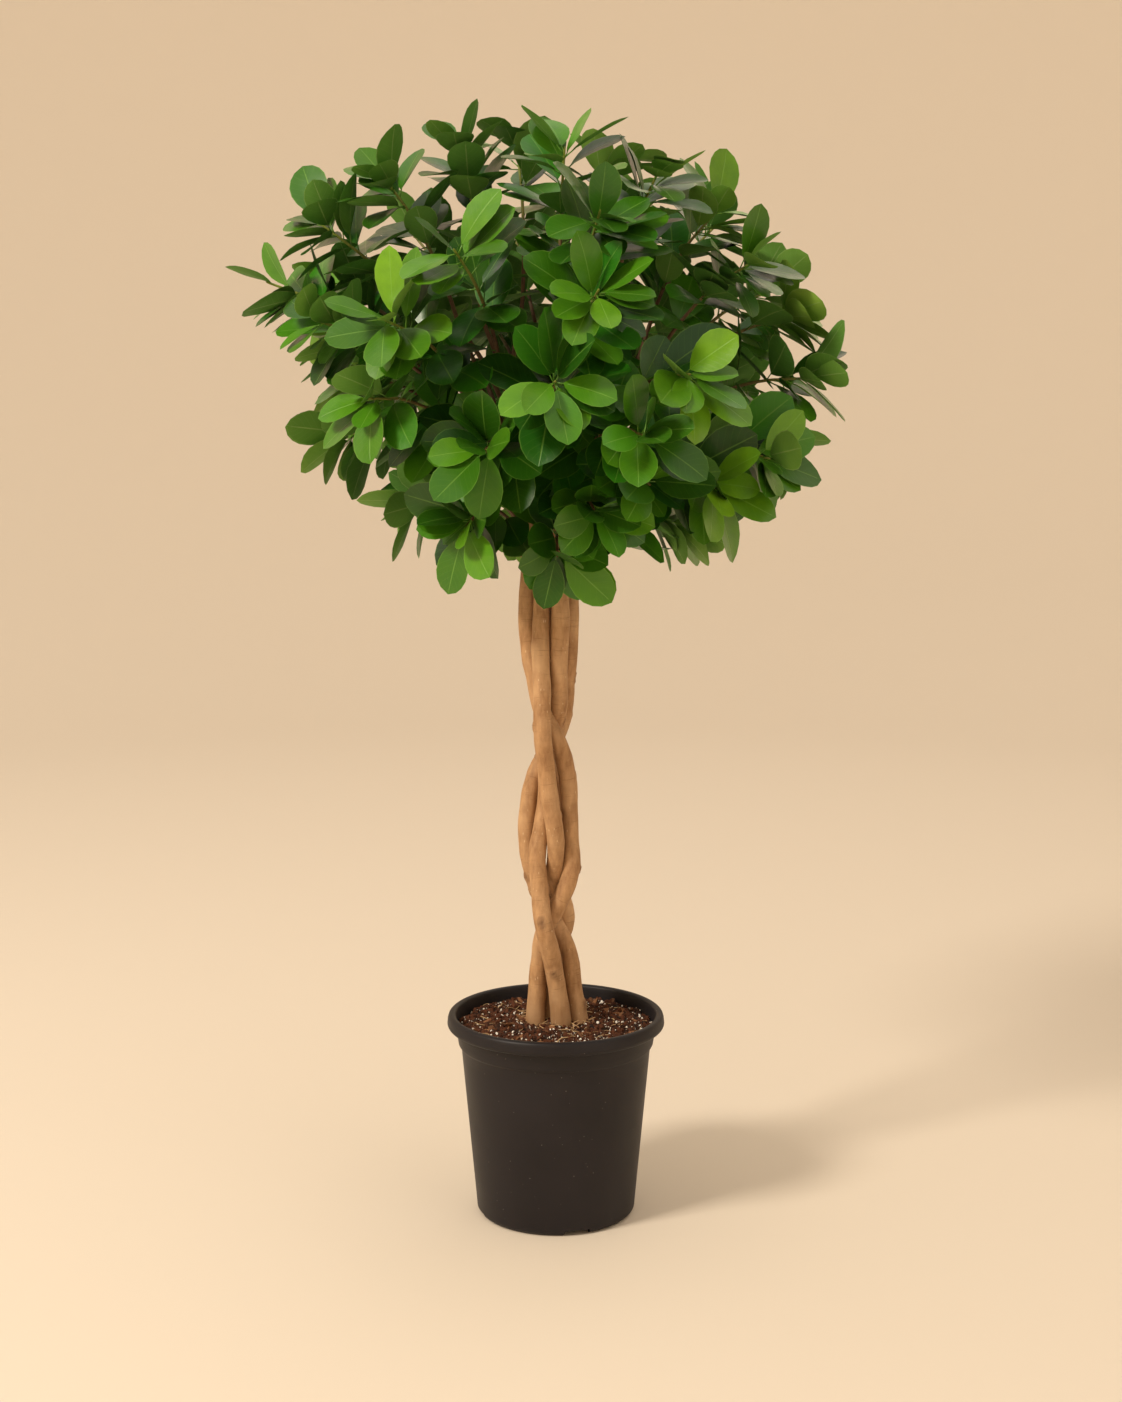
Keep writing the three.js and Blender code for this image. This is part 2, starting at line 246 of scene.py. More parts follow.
def latheMesh(name, profile, segments):  # a profile of (radius, height) turned round Z
    vertices, faces, rings = [], [], []
    for radius, height in profile:
        if radius < 1e-6:
            rings.append([len(vertices)])
            vertices.append((0, 0, height))
        else:
            rings.append([len(vertices) + k for k in range(segments)])
            for k in range(segments):
                a = 2 * math.pi * k / segments
                vertices.append((radius * math.cos(a), radius * math.sin(a), height))
    for lower, upper in zip(rings, rings[1:]):
        for k in range(segments):
            j = (k + 1) % segments
            if len(lower) == 1:
                faces.append((lower[0], upper[k], upper[j]))
            elif len(upper) == 1:
                faces.append((lower[k], upper[0], lower[j]))
            else:
                faces.append((lower[k], upper[k], upper[j], lower[j]))
    mesh = fromPydata(name, vertices, faces)
    work = bmesh.new()
    work.from_mesh(mesh)
    bmesh.ops.recalc_face_normals(work, faces=work.faces)
    work.to_mesh(mesh)
    work.free()
    return mesh


# The floor is a wide plain sweep that rises into a pale wall all round.
sweep = {"flat": 3.0, "rise": 2.6, "wallTop": 5.0, "bendSteps": 24, "segments": 96, "colour": "#e8dccb"}


def makeFloor():  # limewash: flat, pale and without shine
    limewash = newMaterial("limewash", Base_Color=linear(sweep["colour"]), Roughness=0.9)[0]
    bend = arc((sweep["flat"], sweep["rise"]), sweep["rise"], -90, 0, sweep["bendSteps"])
    profile = [(0, 0)] + bend + [(sweep["flat"] + sweep["rise"], sweep["wallTop"])]
    floor = newPiece("floor", latheMesh("floor", profile, sweep["segments"]), limewash)
    floor.data.flip_normals()


makeFloor()

pot = {"segments": 160, "wall": 0.0018, "innerWall": 0.095, "footRadius": 0.077, "footHeight": 0.0055,
       "footRound": 0.0064, "padRadius": 0.0112, "padRound": 0.0012, "sideFrom": 0.0075, "sideRadius": 0.0915,
       "sideDrop": 0.033, "sideRings": 14, "sharpest": 40,
       "colours": ("#181417", "#201c1f"), "dust": "#a2968c",
       "notches": 4, "firstNotch": 16, "notchSize": (0.025, 0.028, 0.0104), "notchInset": 0.002,
       "notchRound": 0.0012, "drains": 4, "drainRadius": 0.006, "drainDepth": 0.03, "drainReach": 0.046,
       # the collar and the step under the rim, each point's radius and its drop below the pot's top
       "collar": [(0.0922, 0.0318), (0.0936, 0.0306), (0.0943, 0.0292), (0.0951, 0.0240),
                  (0.0962, 0.0165), (0.0966, 0.0148), (0.0985, 0.0139), (0.1010, 0.0137)]}


# Moulded polypropylene: a dull sheen with a faint grain from the mould, and specks of dry soil on it.
def mouldedPolypropylene():
    material, tree, shader = newMaterial("moulded_polypropylene", IOR=1.49, Specular_IOR_Level=0.3)
    place = addNode(tree, "ShaderNodeTexCoord", {}, "Object")
    cloud = addNode(tree, "ShaderNodeTexNoise", {"Vector": place, "Scale": 1000 / 70, "Detail": 5})  # 70 mm
    # the mould's grain is 1.1 mm here, coarser than it is, so that it shows
    grain = addNode(tree, "ShaderNodeTexNoise", {"Vector": place, "Scale": 1000 / 1.1})
    share = addNode(tree, "ShaderNodeMapRange", {"Value": cloud, "From Min": 0.35, "From Max": 0.7})
    low, high = (linear(c) for c in pot["colours"])
    body = addNode(tree, "ShaderNodeMix", {0: share, 6: low, 7: high}, 2, data_type="RGBA")
    speck = addNode(tree, "ShaderNodeTexVoronoi", {"Vector": place, "Scale": 1000 / 5})  # one in 5 mm at most
    dot = addNode(tree, "ShaderNodeMapRange", {"Value": speck, "From Min": 0.1, "From Max": 0.05})
    patch = addNode(tree, "ShaderNodeTexNoise", {"Vector": place, "Scale": 1000 / 17})
    few = addNode(tree, "ShaderNodeMapRange", {
        "Value": patch, "From Min": 0.56, "From Max": 0.64, "To Max": 0.55})
    dust = addNode(tree, "ShaderNodeMath", {0: dot, 1: few}, operation="MULTIPLY")
    colour = addNode(tree, "ShaderNodeMix", {0: dust, 6: body, 7: linear(pot["dust"])}, 2, data_type="RGBA")
    tree.links.new(colour, shader.inputs["Base Color"])
    gloss = addNode(tree, "ShaderNodeMapRange", {
        "Value": cloud, "From Min": 0.3, "From Max": 0.75, "To Min": 0.43, "To Max": 0.58})
    tree.links.new(gloss, shader.inputs["Roughness"])
    bump = addNode(tree, "ShaderNodeBump", {"Strength": 0.25, "Distance": 0.0003, "Height": grain})
    tree.links.new(bump, shader.inputs["Normal"])
    return material


# Half of the pot's section: from the middle of the underside round the foot, up the outside, over
# the rolled rim and down the inside.
def potProfile(rim, top):
    foot, wall, lift, pad = pot["footRadius"], pot["wall"], pot["footHeight"], pot["padRadius"]
    centrePad = [(0, 0), (pad, 0)] + arc((pad, pot["padRound"]), pot["padRound"], -90, 0, 4) + [(0.013, lift)]
    footRing = [(foot - 0.0095, lift), (foot - 0.0087, 0.0006), (foot - 0.0080, 0), (foot - 0.0052, 0)]
    footRing += arc((foot - pot["footRound"], pot["footRound"] + 0.0002), pot["footRound"], -78, 4, 8)
    low, high = pot["sideFrom"], top - pot["sideDrop"]
    side = [(foot + (pot["sideRadius"] - foot) * t, low + (high - low) * t)
            for t in np.linspace(0.02, 1, pot["sideRings"])]
    collar = [(radius, top - drop) for radius, drop in pot["collar"]]
    roll = arc((rim - 0.0042, top - 0.0094), 0.0042, -60, 20, 7) + [(rim - 0.0004, top - 0.0052)]
    roll += arc((rim - 0.0046, top - 0.0036), 0.0036, 15, 95, 8)
    roll += arc((rim - 0.0058, top - 0.0028), 0.0026, 95, 165, 5)
    inside = [(rim - 0.0088, top - 0.0070), (0.0927, top - 0.026), (0.0897, top - 0.034)]
    inside += [(foot - wall, lift + 0.005), (foot - wall - 0.004, lift + wall), (0, lift + wall)]
    return centrePad + footRing + side + collar + roll + inside


def potCutters():  # the notches through the foot ring and the holes through the bottom
    cutters = []
    for i in range(pot["notches"]):
        cutter = bmesh.new()
        bmesh.ops.create_cube(cutter, size=1)
        turn = Matrix.Rotation(math.radians(pot["firstNotch"] + 90 * i), 4, "Z")
        out = Matrix.Translation((0, pot["notchInset"] - pot["footRadius"], 0))
        size = Matrix.Diagonal((*pot["notchSize"], 1))
        bmesh.ops.transform(cutter, verts=cutter.verts, matrix=turn @ out @ size)
        bmesh.ops.bevel(
            cutter, geom=cutter.edges, offset=pot["notchRound"], segments=3, affect="EDGES", profile=0.5)
        cutters.append(fromBmesh("notch", cutter))
    radius = pot["drainRadius"]
    for i in range(pot["drains"]):
        a = math.radians(pot["firstNotch"] + 45 + 90 * i)
        drill = bmesh.new()
        bmesh.ops.create_cone(
            drill, cap_ends=True, segments=32, radius1=radius, radius2=radius, depth=pot["drainDepth"])
        at = Vector((math.sin(a), -math.cos(a), 0)) * pot["drainReach"] + up * pot["footHeight"]
        bmesh.ops.translate(drill, verts=drill.verts, vec=at)
        cutters.append(fromBmesh("drain", drill))
    return joinMeshes("cutter", cutters)


def markSharp(mesh, degrees):  # edges that turn by more than this are drawn sharp
    work = bmesh.new()
    work.from_mesh(mesh)
    for edge in work.edges:
        edge.smooth = len(edge.link_faces) == 2 and edge.calc_face_angle(0) < math.radians(degrees)
    work.to_mesh(mesh)
    work.free()


def makePot():
    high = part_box("nursery_pot")[1]
    body = newPiece("pot", latheMesh("pot", potProfile(high.x, high.z), pot["segments"]), plastic)
    cutter = newPiece("cutter", potCutters())
    cut = body.modifiers.new("cut", "BOOLEAN")
    cut.operation = "DIFFERENCE"
    cut.object = cutter
    cut.solver = "EXACT"
    markSharp(plainMesh(body, "pot"), pot["sharpest"])
    bpy.data.objects.remove(cutter)
    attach(body, "root")
    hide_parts("nursery_pot")


plastic = mouldedPolypropylene()
makePot()
print("pot made")

soil = {"rings": 74, "segments": 200, "lump": 0.0085, "crumb": 0.0030, "clodsPerMetre": 48,
        "crumbsPerMetre": 190, "topBelowNode": 0.0015, "reach": 0.0940, "bottomReach": 0.069,
        "side": [(0.0736, 0.0125), (0.0888, 0.1635), (0.0912, 0.1702), (0.0928, 0.176)],
        "fallAtWall": 0.0030, "mound": 0.0018, "moundReach": 0.5, "highest": 0.003, "plugSide": 0.013,
        "clearOfRim": 0.002, "leastUpward": 0.25, "seed": 5,
        "damp": "#160903", "dry": "#47260f", "pale": "#7c4d2c"}


# Peat and bark compost: dark, crumbly and quite without shine, redder where it has dried.
def barkCompost():
    material, tree, shader = newMaterial("bark_compost", Roughness=0.95)
    place = addNode(tree, "ShaderNodeTexCoord", {}, "Object")
    clod = addNode(tree, "ShaderNodeTexNoise", {
        "Vector": place, "Scale": 1000 / 18, "Detail": 6, "Roughness": 0.7})
    crumb = addNode(tree, "ShaderNodeTexNoise", {
        "Vector": place, "Scale": 1000 / 2.4, "Detail": 5, "Roughness": 0.7})
    dry = addNode(tree, "ShaderNodeMapRange", {"Value": clod, "From Min": 0.38, "From Max": 0.7})
    low, high = linear(soil["damp"]), linear(soil["dry"])
    base = addNode(tree, "ShaderNodeMix", {0: dry, 6: low, 7: high}, 2, data_type="RGBA")
    light = addNode(tree, "ShaderNodeMapRange", {"Value": crumb, "From Min": 0.56, "From Max": 0.74})
    colour = addNode(tree, "ShaderNodeMix", {0: light, 6: base, 7: linear(soil["pale"])}, 2, data_type="RGBA")
    tree.links.new(colour, shader.inputs["Base Color"])
    bump = addNode(tree, "ShaderNodeBump", {"Strength": 0.9, "Distance": 0.0015, "Height": crumb})
    tree.links.new(bump, shader.inputs["Normal"])
    return material


def soilRelief(x, y):  # broad clods and hollows with crumbs on them
    place = Vector((x, y, soil["seed"]))
    broad = noise.fractal(place * soil["clodsPerMetre"], 1.0, 2.0, 3)
    crumb = noise.fractal(place * soil["crumbsPerMetre"], 0.8, 2.1, 4)
    return broad * soil["lump"] * 0.5 + crumb * soil["crumb"]


def makeSoil():
    low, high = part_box("potting_soil")
    top = high.z - soil["topBelowNode"]
    reach = soil["reach"]
    profile = [(0, low.z), (soil["bottomReach"], low.z)] + soil["side"]
    profile += [(reach * (1 - i / soil["rings"]), top) for i in range(soil["rings"])] + [(0, top)]
    mesh = latheMesh("soil", profile, soil["segments"])
    for vertex in mesh.vertices:
        x, y, z = vertex.co
        if z < top - 1e-6:
            continue
        share = math.hypot(x, y) / reach
        fall = soil["fallAtWall"] * share ** 3
        mound = soil["mound"] * max(0, 1 - share / soil["moundReach"])
        vertex.co.z = min(top - fall + mound + soilRelief(x, y), high.z + soil["highest"])
    piece = newPiece("soil", mesh, barkCompost())
    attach(piece, "root")
    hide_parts("potting_soil")
    return piece


soilPiece = makeSoil()
print("soil made")


def lumpForm(seed, flatness, length, points=12):  # a hull round a few random points: a chip, grain or crumb
    random = np.random.default_rng(seed)
    work = bmesh.new()
    for _ in range(points):
        direction = Vector(random.normal(size=3)).normalized()
        work.verts.new(Vector((direction.x * length, direction.y, direction.z * flatness)) * 0.5)
    bmesh.ops.convex_hull(work, input=work.verts)
    bmesh.ops.delete(work, geom=[v for v in work.verts if not v.link_faces], context="VERTS")
    return fromBmesh("lump", work)


def fibreForm(seed):  # a stray root, lying in a slack curve: one unit long, and the rest as a share of that
    thickness, waver = 0.022, 0.06
    random = np.random.default_rng(seed)
    bend, sway = random.uniform(-0.6, 0.6, 2)
    points = [
        (t, bend * (t * t - 0.25) + waver * math.sin(9 * t + sway), waver * math.cos(5 * t + sway))
        for t in np.linspace(-0.5, 0.5, 9)
    ]
    return sweepRod("fibre", points, [thickness] * len(points), 4)


# Each kind of loose bit: its forms, how many lie on a square metre, its sizes and its finish.
litter = {
    "bark_chips": {"forms": [lumpForm(s, 0.4, 1.7) for s in range(6)], "density": 3600, "smallest": 0.0040,
                   "largest": 0.0100, "tilt": 0.8, "seed": 11, "within": pot["innerWall"],
                   "finish": ("pine_bark_chip", "#2c160a", "#8a5c38", 0.85)},
    "perlite_grains": {"forms": [lumpForm(s + 20, 0.8, 1.1) for s in range(5)], "density": 30000,
                       "smallest": 0.0011, "largest": 0.0034, "tilt": 3.0, "seed": 23,
                       "within": pot["innerWall"], "finish": ("perlite_grain", "#dccdb8", "#fbf6ec", 0.9)},
    "peat_crumbs": {"forms": [lumpForm(s + 40, 0.75, 1.2) for s in range(6)], "density": 95000,
                    "smallest": 0.0016, "largest": 0.0060, "tilt": 3.0, "seed": 31,
                    "within": pot["innerWall"], "finish": ("peat_crumb", "#120602", "#5b3016", 0.95)},
    "root_fibres": {"forms": [fibreForm(s + 60) for s in range(6)], "density": 3600, "smallest": 0.010,
                    "largest": 0.024, "tilt": 0.45, "seed": 47, "within": pot["innerWall"],
                    "finish": ("root_fibre", "#7d5633", "#cdae80", 0.8)},
    "surface_roots": {"forms": [fibreForm(s + 80) for s in range(6)], "density": 15000, "smallest": 0.010,
                      "largest": 0.024, "tilt": 0.55, "seed": 53, "within": 0.036,
                      "finish": ("fresh_root", "#6f4a2c", "#cda97a", 0.75)},
}


# Loose bits, dull all over, each with its own shade from dark and damp to pale and dry.
def litterBits(name, dark, pale, roughness):
    material, tree, shader = newMaterial(name, Roughness=roughness)
    shade = addNode(tree, "ShaderNodeAttribute", {}, "Fac", attribute_name="shade")
    place = addNode(tree, "ShaderNodeTexCoord", {}, "Object")
    mottle = addNode(tree, "ShaderNodeTexNoise", {"Vector": place, "Scale": 1000 / 2, "Detail": 3})
    part = addNode(tree, "ShaderNodeMath", {0: shade, 1: 0.75}, operation="MULTIPLY")
    mixed = addNode(tree, "ShaderNodeMath", {0: mottle, 1: 0.35, 2: part}, operation="MULTIPLY_ADD")
    colour = addNode(tree, "ShaderNodeMix", {0: mixed, 6: linear(dark), 7: linear(pale)}, 2, data_type="RGBA")
    tree.links.new(colour, shader.inputs["Base Color"])
    bump = addNode(tree, "ShaderNodeBump", {"Strength": 0.5, "Distance": 0.0005, "Height": mottle})
    tree.links.new(bump, shader.inputs["Normal"])
    return material


def newTree(name, sockets):  # a Geometry Nodes tree with named inputs
    tree = bpy.data.node_groups.new(name, "GeometryNodeTree")
    tree.interface.new_socket("Geometry", in_out="OUTPUT", socket_type="NodeSocketGeometry")
    for label, kind in [("Geometry", "Geometry")] + sockets:
        tree.interface.new_socket(label, in_out="INPUT", socket_type="NodeSocket" + kind)
    return tree, tree.nodes.new("NodeGroupInput").outputs


# The tree that scatters one kind of bit on the soil's upper side, within a distance of the middle.
def litterTree():
    tree, given = newTree("scatterLitter", [
        ("Forms", "Collection"), ("Bits per square metre", "Float"), ("Within", "Float"), ("Above", "Float"),
        ("Least upward", "Float"), ("Smallest", "Float"), ("Largest", "Float"), ("Tilt", "Float"),
        ("Seed", "Int"), ("Finish", "Material")])
    place = addNode(tree, "GeometryNodeInputPosition", {})
    height = addNode(tree, "ShaderNodeSeparateXYZ", {0: place}, "Z")
    level = addNode(tree, "ShaderNodeVectorMath", {0: place, 1: (1, 1, 0)}, operation="MULTIPLY")
    reach = addNode(tree, "ShaderNodeVectorMath", {0: level}, "Value", operation="LENGTH")
    normal = addNode(tree, "GeometryNodeInputNormal", {})
    facing = addNode(tree, "ShaderNodeSeparateXYZ", {0: normal}, "Z")
    upward = addNode(tree, "FunctionNodeCompare", {
        0: facing, 1: given["Least upward"]}, operation="GREATER_THAN")
    surface = addNode(tree, "FunctionNodeCompare", {0: height, 1: given["Above"]}, operation="GREATER_THAN")
    near = addNode(tree, "FunctionNodeCompare", {0: reach, 1: given["Within"]}, operation="LESS_THAN")
    onTop = addNode(tree, "FunctionNodeBooleanMath", {0: upward, 1: surface}, operation="AND")
    chosen = addNode(tree, "FunctionNodeBooleanMath", {0: onTop, 1: near}, operation="AND")
    seed = given["Seed"]
    spread = addNode(tree, "GeometryNodeDistributePointsOnFaces", {
        "Mesh": given["Geometry"], "Selection": chosen, "Density": given["Bits per square metre"],
        "Seed": seed}, "Points")
    shade = addNode(tree, "FunctionNodeRandomValue", {2: 0.0, 3: 1.0, "Seed": seed}, 1, data_type="FLOAT")
    shaded = addNode(tree, "GeometryNodeStoreNamedAttribute", {
        "Geometry": spread, "Name": "shade", "Value": shade}, data_type="FLOAT", domain="POINT")
    forms = addNode(tree, "GeometryNodeCollectionInfo", {
        "Collection": given["Forms"], "Separate Children": True, "Reset Children": True})
    tilt = given["Tilt"]
    leanBack = addNode(tree, "ShaderNodeMath", {0: tilt, 1: -1.0}, operation="MULTIPLY")
    least = addNode(tree, "ShaderNodeCombineXYZ", {0: leanBack, 1: leanBack, 2: -math.pi})
    most = addNode(tree, "ShaderNodeCombineXYZ", {0: tilt, 1: tilt, 2: math.pi})
    turn = addNode(tree, "FunctionNodeRandomValue", {
        0: least, 1: most, "Seed": seed}, data_type="FLOAT_VECTOR")
    size = addNode(tree, "FunctionNodeRandomValue", {
        2: given["Smallest"], 3: given["Largest"], "Seed": seed}, 1, data_type="FLOAT")
    placed = addNode(tree, "GeometryNodeInstanceOnPoints", {
        "Points": shaded, "Instance": forms, "Pick Instance": True, "Rotation": turn, "Scale": size})
    real = addNode(tree, "GeometryNodeRealizeInstances", {"Geometry": placed})
    finished = addNode(tree, "GeometryNodeSetMaterial", {"Geometry": real, "Material": given["Finish"]})
    tree.links.new(finished, tree.nodes.new("NodeGroupOutput").inputs[0])
    return tree


def setInputs(modifier, values):  # a modifier's inputs are set by their identifiers
    sockets = modifier.node_group.interface.items_tree
    identifiers = {item.name: item.identifier for item in sockets if item.in_out == "INPUT"}
    for name, value in values.items():
        modifier[identifiers[name]] = value


def formCollection(name, meshes):
    shelf = bpy.data.collections.new(name)
    for i, mesh in enumerate(meshes):
        shelf.objects.link(bpy.data.objects.new(f"{name}{i}", mesh))
    return shelf


def dropCollection(shelf):
    for form in list(shelf.objects):
        mesh = form.data
        bpy.data.objects.remove(form)
        bpy.data.meshes.remove(mesh)
    bpy.data.collections.remove(shelf)


def dropStrayBits(mesh):  # a bit that would stick through the pot's wall or above its rim goes whole
    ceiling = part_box("nursery_pot")[1].z + soil["clearOfRim"]
    work = bmesh.new()
    work.from_mesh(mesh)
    outside = [v for v in work.verts if math.hypot(v.co.x, v.co.y) > pot["innerWall"] or v.co.z > ceiling]
    doomed = set(outside)
    while outside:
        vertex = outside.pop()
        for edge in vertex.link_edges:
            other = edge.other_vert(vertex)
            if other not in doomed:
                doomed.add(other)
                outside.append(other)
    bmesh.ops.delete(work, geom=list(doomed), context="VERTS")
    work.to_mesh(mesh)
    work.free()


def scatterLitter():
    tree = litterTree()
    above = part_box("potting_soil")[1].z - soil["plugSide"]  # below this there is only the plug's side
    for name, bits in litter.items():
        shelf = formCollection(name + "_form", bits["forms"])
        piece = newPiece(name, soilPiece.data.copy())
        modifier = piece.modifiers.new("scatter", "NODES")
        modifier.node_group = tree
        setInputs(modifier, {
            "Forms": shelf, "Bits per square metre": float(bits["density"]), "Within": bits["within"],
            "Above": above, "Least upward": soil["leastUpward"], "Smallest": bits["smallest"],
            "Largest": bits["largest"], "Tilt": bits["tilt"], "Seed": bits["seed"],
            "Finish": litterBits(*bits["finish"])})
        mesh = plainMesh(piece, name)
        dropStrayBits(mesh)
        dropCollection(shelf)
        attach(piece, "root")
        print(name, len(mesh.polygons), "faces")
    bpy.data.node_groups.remove(tree)


scatterLitter()
print("soil litter made")

stems = {"slices": 120, "endGap": 0.004, "stations": 300, "sides": 26, "fullness": 0.97, "seed": 3,
         "radius": {"stem_front": 0.0090, "stem_middle": 0.0086, "stem_left": 0.0088, "stem_right": 0.0086,
                    "stem_back": 0.0080},
         "topRadius": 0.0032, "taperFrom": 0.600, "taperTo": 0.760, "allYoung": 0.70, "swelling": 0.05,
         "flare": 0.18, "flareHeight": 0.03, "soilLine": 0.188, "ridge": 0.00045, "lump": 0.0006,
         "scars": 8, "scarPlace": (0.12, 0.95), "scarSize": (0.0028, 0.0048), "scarRim": 0.0011,
         "scarPit": 0.0008,
         "bark": ("#8f6742", "#bd9367"), "patch": "#d2ac82", "ring": "#75502f", "pore": "#ead2ac",
         "scar": "#4e2e19", "young": "#7d4526", "soiled": "#5f3f26"}
stemNames = sorted(n for n in frame["nodes"] if n.startswith("stem_"))


# Ficus bark: smooth, dull and tan on the plaited stems, with soft streaks, fine rings, pale pores
# and dark knots where leaves fell, and redder on the young wood in the crown.
def ficusBark():
    material, tree, shader = newMaterial("ficus_bark", Roughness=0.72, IOR=1.45)
    place = addNode(tree, "ShaderNodeTexCoord", {}, "Object")
    around = addNode(tree, "ShaderNodeUVMap", {}, uv_map="rodUV")
    height = addNode(tree, "ShaderNodeSeparateXYZ", {0: place}, "Z")
    drawn = addNode(tree, "ShaderNodeMapping", {"Vector": place, "Scale": (1, 1, 0.3)})  # longer up the stem
    streaks = addNode(tree, "ShaderNodeTexNoise", {
        "Vector": drawn, "Scale": 1000 / 6, "Detail": 5, "Roughness": 0.6})
    band = addNode(tree, "ShaderNodeMapping", {"Vector": around, "Scale": (1000 / 30, 1000 / 1.8, 1)})
    rings = addNode(tree, "ShaderNodeTexNoise", {"Vector": band, "Scale": 1.0, "Detail": 3, "Roughness": 0.6})
    patches = addNode(tree, "ShaderNodeTexNoise", {"Vector": place, "Scale": 1000 / 34, "Detail": 4})
    patch = addNode(tree, "ShaderNodeMapRange", {
        "Value": patches, "From Min": 0.42, "From Max": 0.7, "To Max": 0.55})
    ring = addNode(tree, "ShaderNodeMapRange", {
        "Value": rings, "From Min": 0.60, "From Max": 0.72, "To Max": 0.5})
    pores = addNode(tree, "ShaderNodeTexVoronoi", {"Vector": drawn, "Scale": 1000 / 3})
    dot = addNode(tree, "ShaderNodeMapRange", {"Value": pores, "From Min": 0.17, "From Max": 0.08})
    areas = addNode(tree, "ShaderNodeTexNoise", {"Vector": place, "Scale": 1000 / 11})
    few = addNode(tree, "ShaderNodeMapRange", {
        "Value": areas, "From Min": 0.5, "From Max": 0.58, "To Max": 0.55})
    pore = addNode(tree, "ShaderNodeMath", {0: dot, 1: few}, operation="MULTIPLY")
    scar = addNode(tree, "ShaderNodeAttribute", {}, "Fac", attribute_name="scar")
    young = addNode(tree, "ShaderNodeMapRange", {
        "Value": height, "From Min": stems["taperFrom"], "From Max": stems["allYoung"], "To Max": 0.7})
    low = addNode(tree, "ShaderNodeMapRange", {
        "Value": height, "From Min": stems["soilLine"] + 0.030, "From Max": stems["soilLine"], "To Max": 0.6})
    soiled = addNode(tree, "ShaderNodeMath", {0: low, 1: streaks}, operation="MULTIPLY")
    share = addNode(tree, "ShaderNodeMapRange", {"Value": streaks, "From Min": 0.28, "From Max": 0.70})
    dark, pale = (linear(c) for c in stems["bark"])
    colour = addNode(tree, "ShaderNodeMix", {0: share, 6: dark, 7: pale}, 2, data_type="RGBA")
    layers = {"patch": patch, "ring": ring, "pore": pore, "scar": scar, "young": young, "soiled": soiled}
    for name, share in layers.items():
        tint = linear(stems[name])
        colour = addNode(tree, "ShaderNodeMix", {0: share, 6: colour, 7: tint}, 2, data_type="RGBA")
    tree.links.new(colour, shader.inputs["Base Color"])
    dip = addNode(tree, "ShaderNodeMath", {0: rings, 1: -0.6}, operation="MULTIPLY")
    relief = addNode(tree, "ShaderNodeMath", {0: streaks, 1: 0.6, 2: dip}, operation="MULTIPLY_ADD")
    bump = addNode(tree, "ShaderNodeBump", {"Strength": 0.5, "Distance": 0.0010, "Height": relief})
    tree.links.new(bump, shader.inputs["Normal"])
    return material


def sliceCentres(node):  # the middle of level cuts through a CAD stem
    low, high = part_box(node)
    work = mergedCopy(node)
    centres = []
    for z in np.linspace(low.z + stems["endGap"], high.z - stems["endGap"], stems["slices"]):
        cut = []
        for edge in work.edges:
            a, b = (v.co for v in edge.verts)
            if (a.z - z) * (b.z - z) < 0:
                cut.append(a.lerp(b, (z - a.z) / (b.z - a.z)))
        around = np.array([tuple(p) for p in cut])
        centres.append(Vector((around.min(0) + around.max(0)) / 2))
    work.free()
    return centres


def smoothed(points, rounds):
    for _ in range(rounds):
        between = [(a + b * 2 + c) / 4 for a, b, c in zip(points, points[1:], points[2:])]
        points = [points[0]] + between + [points[-1]]
    return points


def resampled(points, count):
    lengths = np.concatenate([[0], np.cumsum([(b - a).length for a, b in zip(points, points[1:])])])
    table = np.array([tuple(p) for p in points])
    where = np.linspace(0, lengths[-1], count)
    columns = [np.interp(where, lengths, table[:, i]) for i in range(3)]
    return [Vector(p) for p in np.stack(columns, axis=1)]


def stemRadius(node, z):
    share = min(1, max(0, (z - stems["taperFrom"]) / (stems["taperTo"] - stems["taperFrom"])))
    return stems["radius"][node] * (1 - share) + stems["topRadius"] * share


def scarGap(scar, run, angle, radius):  # how far a place on the bark is from a scar, in the scar's sizes
    at, turn, size = scar
    around = math.remainder(angle - turn, 2 * math.pi) * radius
    return math.hypot((run - at) * 0.85, around) / size


def scarLift(scar, run, angle, radius):  # a raised rim with a pit in it
    gap = scarGap(scar, run, angle, radius)
    if gap >= 1.6:
        return 0.0
    raised = stems["scarRim"] * math.exp(-((gap - 0.75) / 0.35) ** 2)
    return raised - stems["scarPit"] * math.exp(-(gap / 0.4) ** 2)


def scarShade(scar, run, angle, radius):  # how dark the scar's rim and pit are
    gap = scarGap(scar, run, angle, radius)
    return max(0.45 * math.exp(-((gap - 0.85) / 0.25) ** 2), 0.8 * math.exp(-(gap / 0.62) ** 2))


